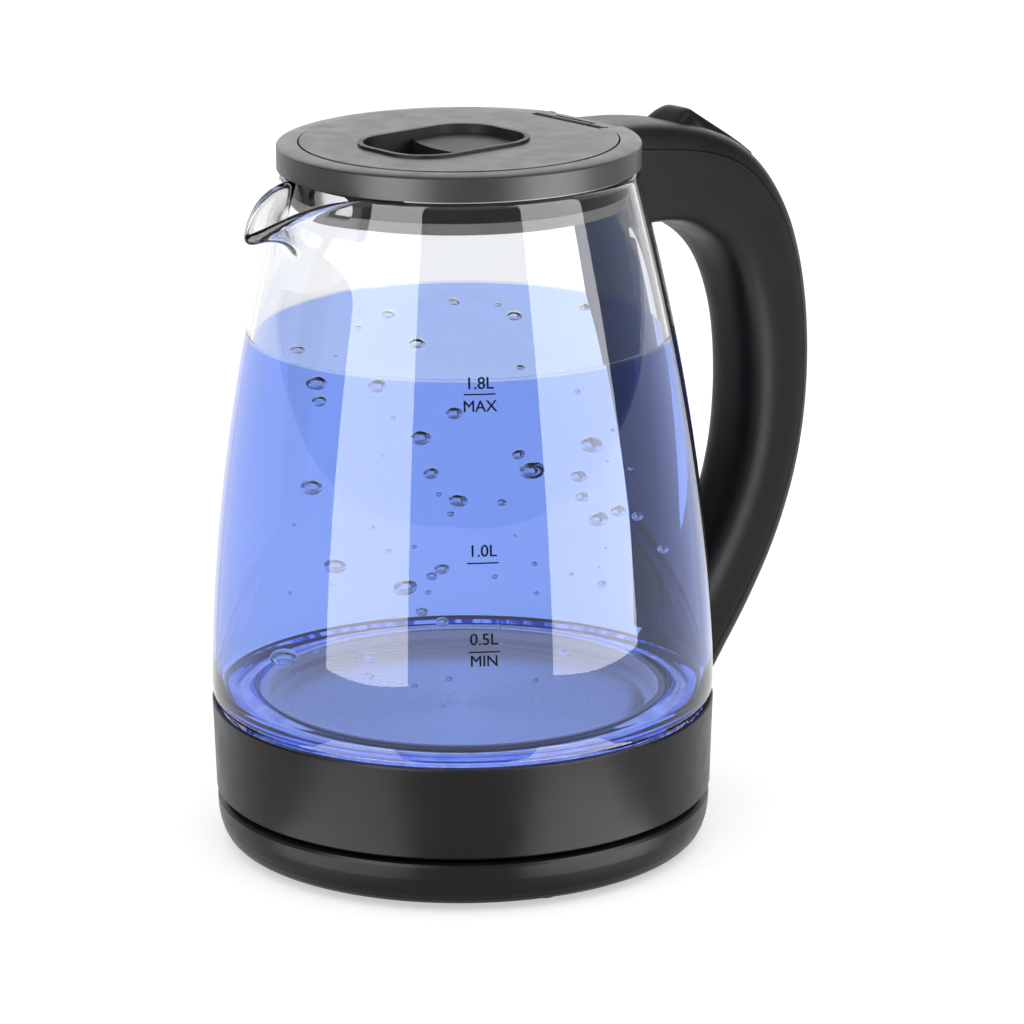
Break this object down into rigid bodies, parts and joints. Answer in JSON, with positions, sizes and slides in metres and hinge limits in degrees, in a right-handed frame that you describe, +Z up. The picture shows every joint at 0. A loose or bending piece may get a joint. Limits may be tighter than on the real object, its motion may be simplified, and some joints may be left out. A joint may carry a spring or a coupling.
{
  "type": "electric kettle",
  "caption": "Cordless glass kettle with a hinged flat lid, a V-shaped pouring lip, a loop handle with a rocker switch, and a round power base.",
  "frame": {"origin": "on the jug's axis, at the plane of the base's feet", "axes": "+Z up, +X from the jug's axis towards the handle, so the pouring lip points along -X; +Y across the kettle"},
  "size_m": [0.2277, 0.16, 0.2269],
  "materials": {
    "black_plastic": "satin",
    "lid_plastic": "fine satin texture",
    "dark_plastic": "matt",
    "black_rubber": "matt",
    "contact_brass": "polished",
    "fixing_steel": "plain",
    "wire_cover": "smooth",
    "jug_glass": "clear and polished",
    "clear_plastic": "clear, lit from below",
    "board": "matt",
    "led_body": "clear blue",
    "plate_steel": "brushed",
    "grey_silicone": "matt and slightly clear",
    "spreader_aluminium": "plain",
    "element_metal": "oxidised",
    "cream_plastic": "matt",
    "bimetal": "plain"
  },
  "bodies": {
    "base": {"base_shell": "black_plastic", "base_bottom": "dark_plastic", "base_feet": "black_rubber", "base_connector": "dark_plastic", "base_contacts": "contact_brass", "base_screws": "fixing_steel", "cord_gland": "black_rubber", "cord_clamp": "dark_plastic", "base_wires": "wire_cover"},
    "plug": {"kettle_plug": "dark_plastic", "plug_contacts": "contact_brass"},
    "kettle": {"glass_jug": "jug_glass", "collar": "black_plastic", "kettle_bottom": "black_plastic", "bottom_screws": "fixing_steel", "light_ring": "clear_plastic", "led_board": "board", "leds": "led_body", "heating_plate": "plate_steel", "plate_seal": "grey_silicone", "heat_spreader": "spreader_aluminium", "heating_element": "element_metal", "thermostat": "cream_plastic", "bimetal_discs": "bimetal", "back_strip": "black_plastic", "handle_grip": "black_plastic", "handle_cover": "black_plastic", "handle_screws": "fixing_steel", "handle_wires": "wire_cover", "steam_switch": "cream_plastic", "steam_disc": "bimetal", "steam_tube": "cream_plastic", "switch_pins": "fixing_steel", "top_ring": "black_plastic", "rim_gasket": "grey_silicone", "neck_skirt": "black_plastic", "neck_seal": "grey_silicone", "filter_frame": "black_plastic", "filter_mesh": "plate_steel", "hinge_pin": "fixing_steel"},
    "lid": {"lid_top": "lid_plastic", "lid_tray": "black_plastic", "lid_bottom": "black_plastic", "lid_seal": "grey_silicone", "lid_screws": "fixing_steel"},
    "switch": {"power_switch": "black_plastic"},
    "trip": {"trip_lever": "cream_plastic"}
  },
  "joints": [
    {"name": "kettle_lift", "type": "slide", "parent": "base", "child": "plug", "axis": [0, 0, 1], "range_m": [0, 0.08]},
    {"name": "kettle_swivel", "type": "hinge", "parent": "plug", "child": "kettle", "pos_m": [0, 0, 0.03], "axis": [0, 0, 1], "continuous": true},
    {"name": "lid_hinge", "type": "hinge", "parent": "kettle", "child": "lid", "pos_m": [0.0466, 0, 0.2244], "axis": [0, 1, 0], "range_deg": [0, 80]},
    {"name": "switch_rock", "type": "hinge", "parent": "kettle", "child": "switch", "pos_m": [0.101, 0, 0.2086], "axis": [0, 1, 0], "range_deg": [0, 7]},
    {"name": "trip_turn", "type": "hinge", "parent": "kettle", "child": "trip", "pos_m": [0.081, 0, 0.203], "axis": [0, 1, 0], "range_deg": [-10.5, 0]}
  ],
  "couplings": [
    {"joint": "trip_turn", "follows": "switch_rock", "ratio": -1.5}
  ]
}
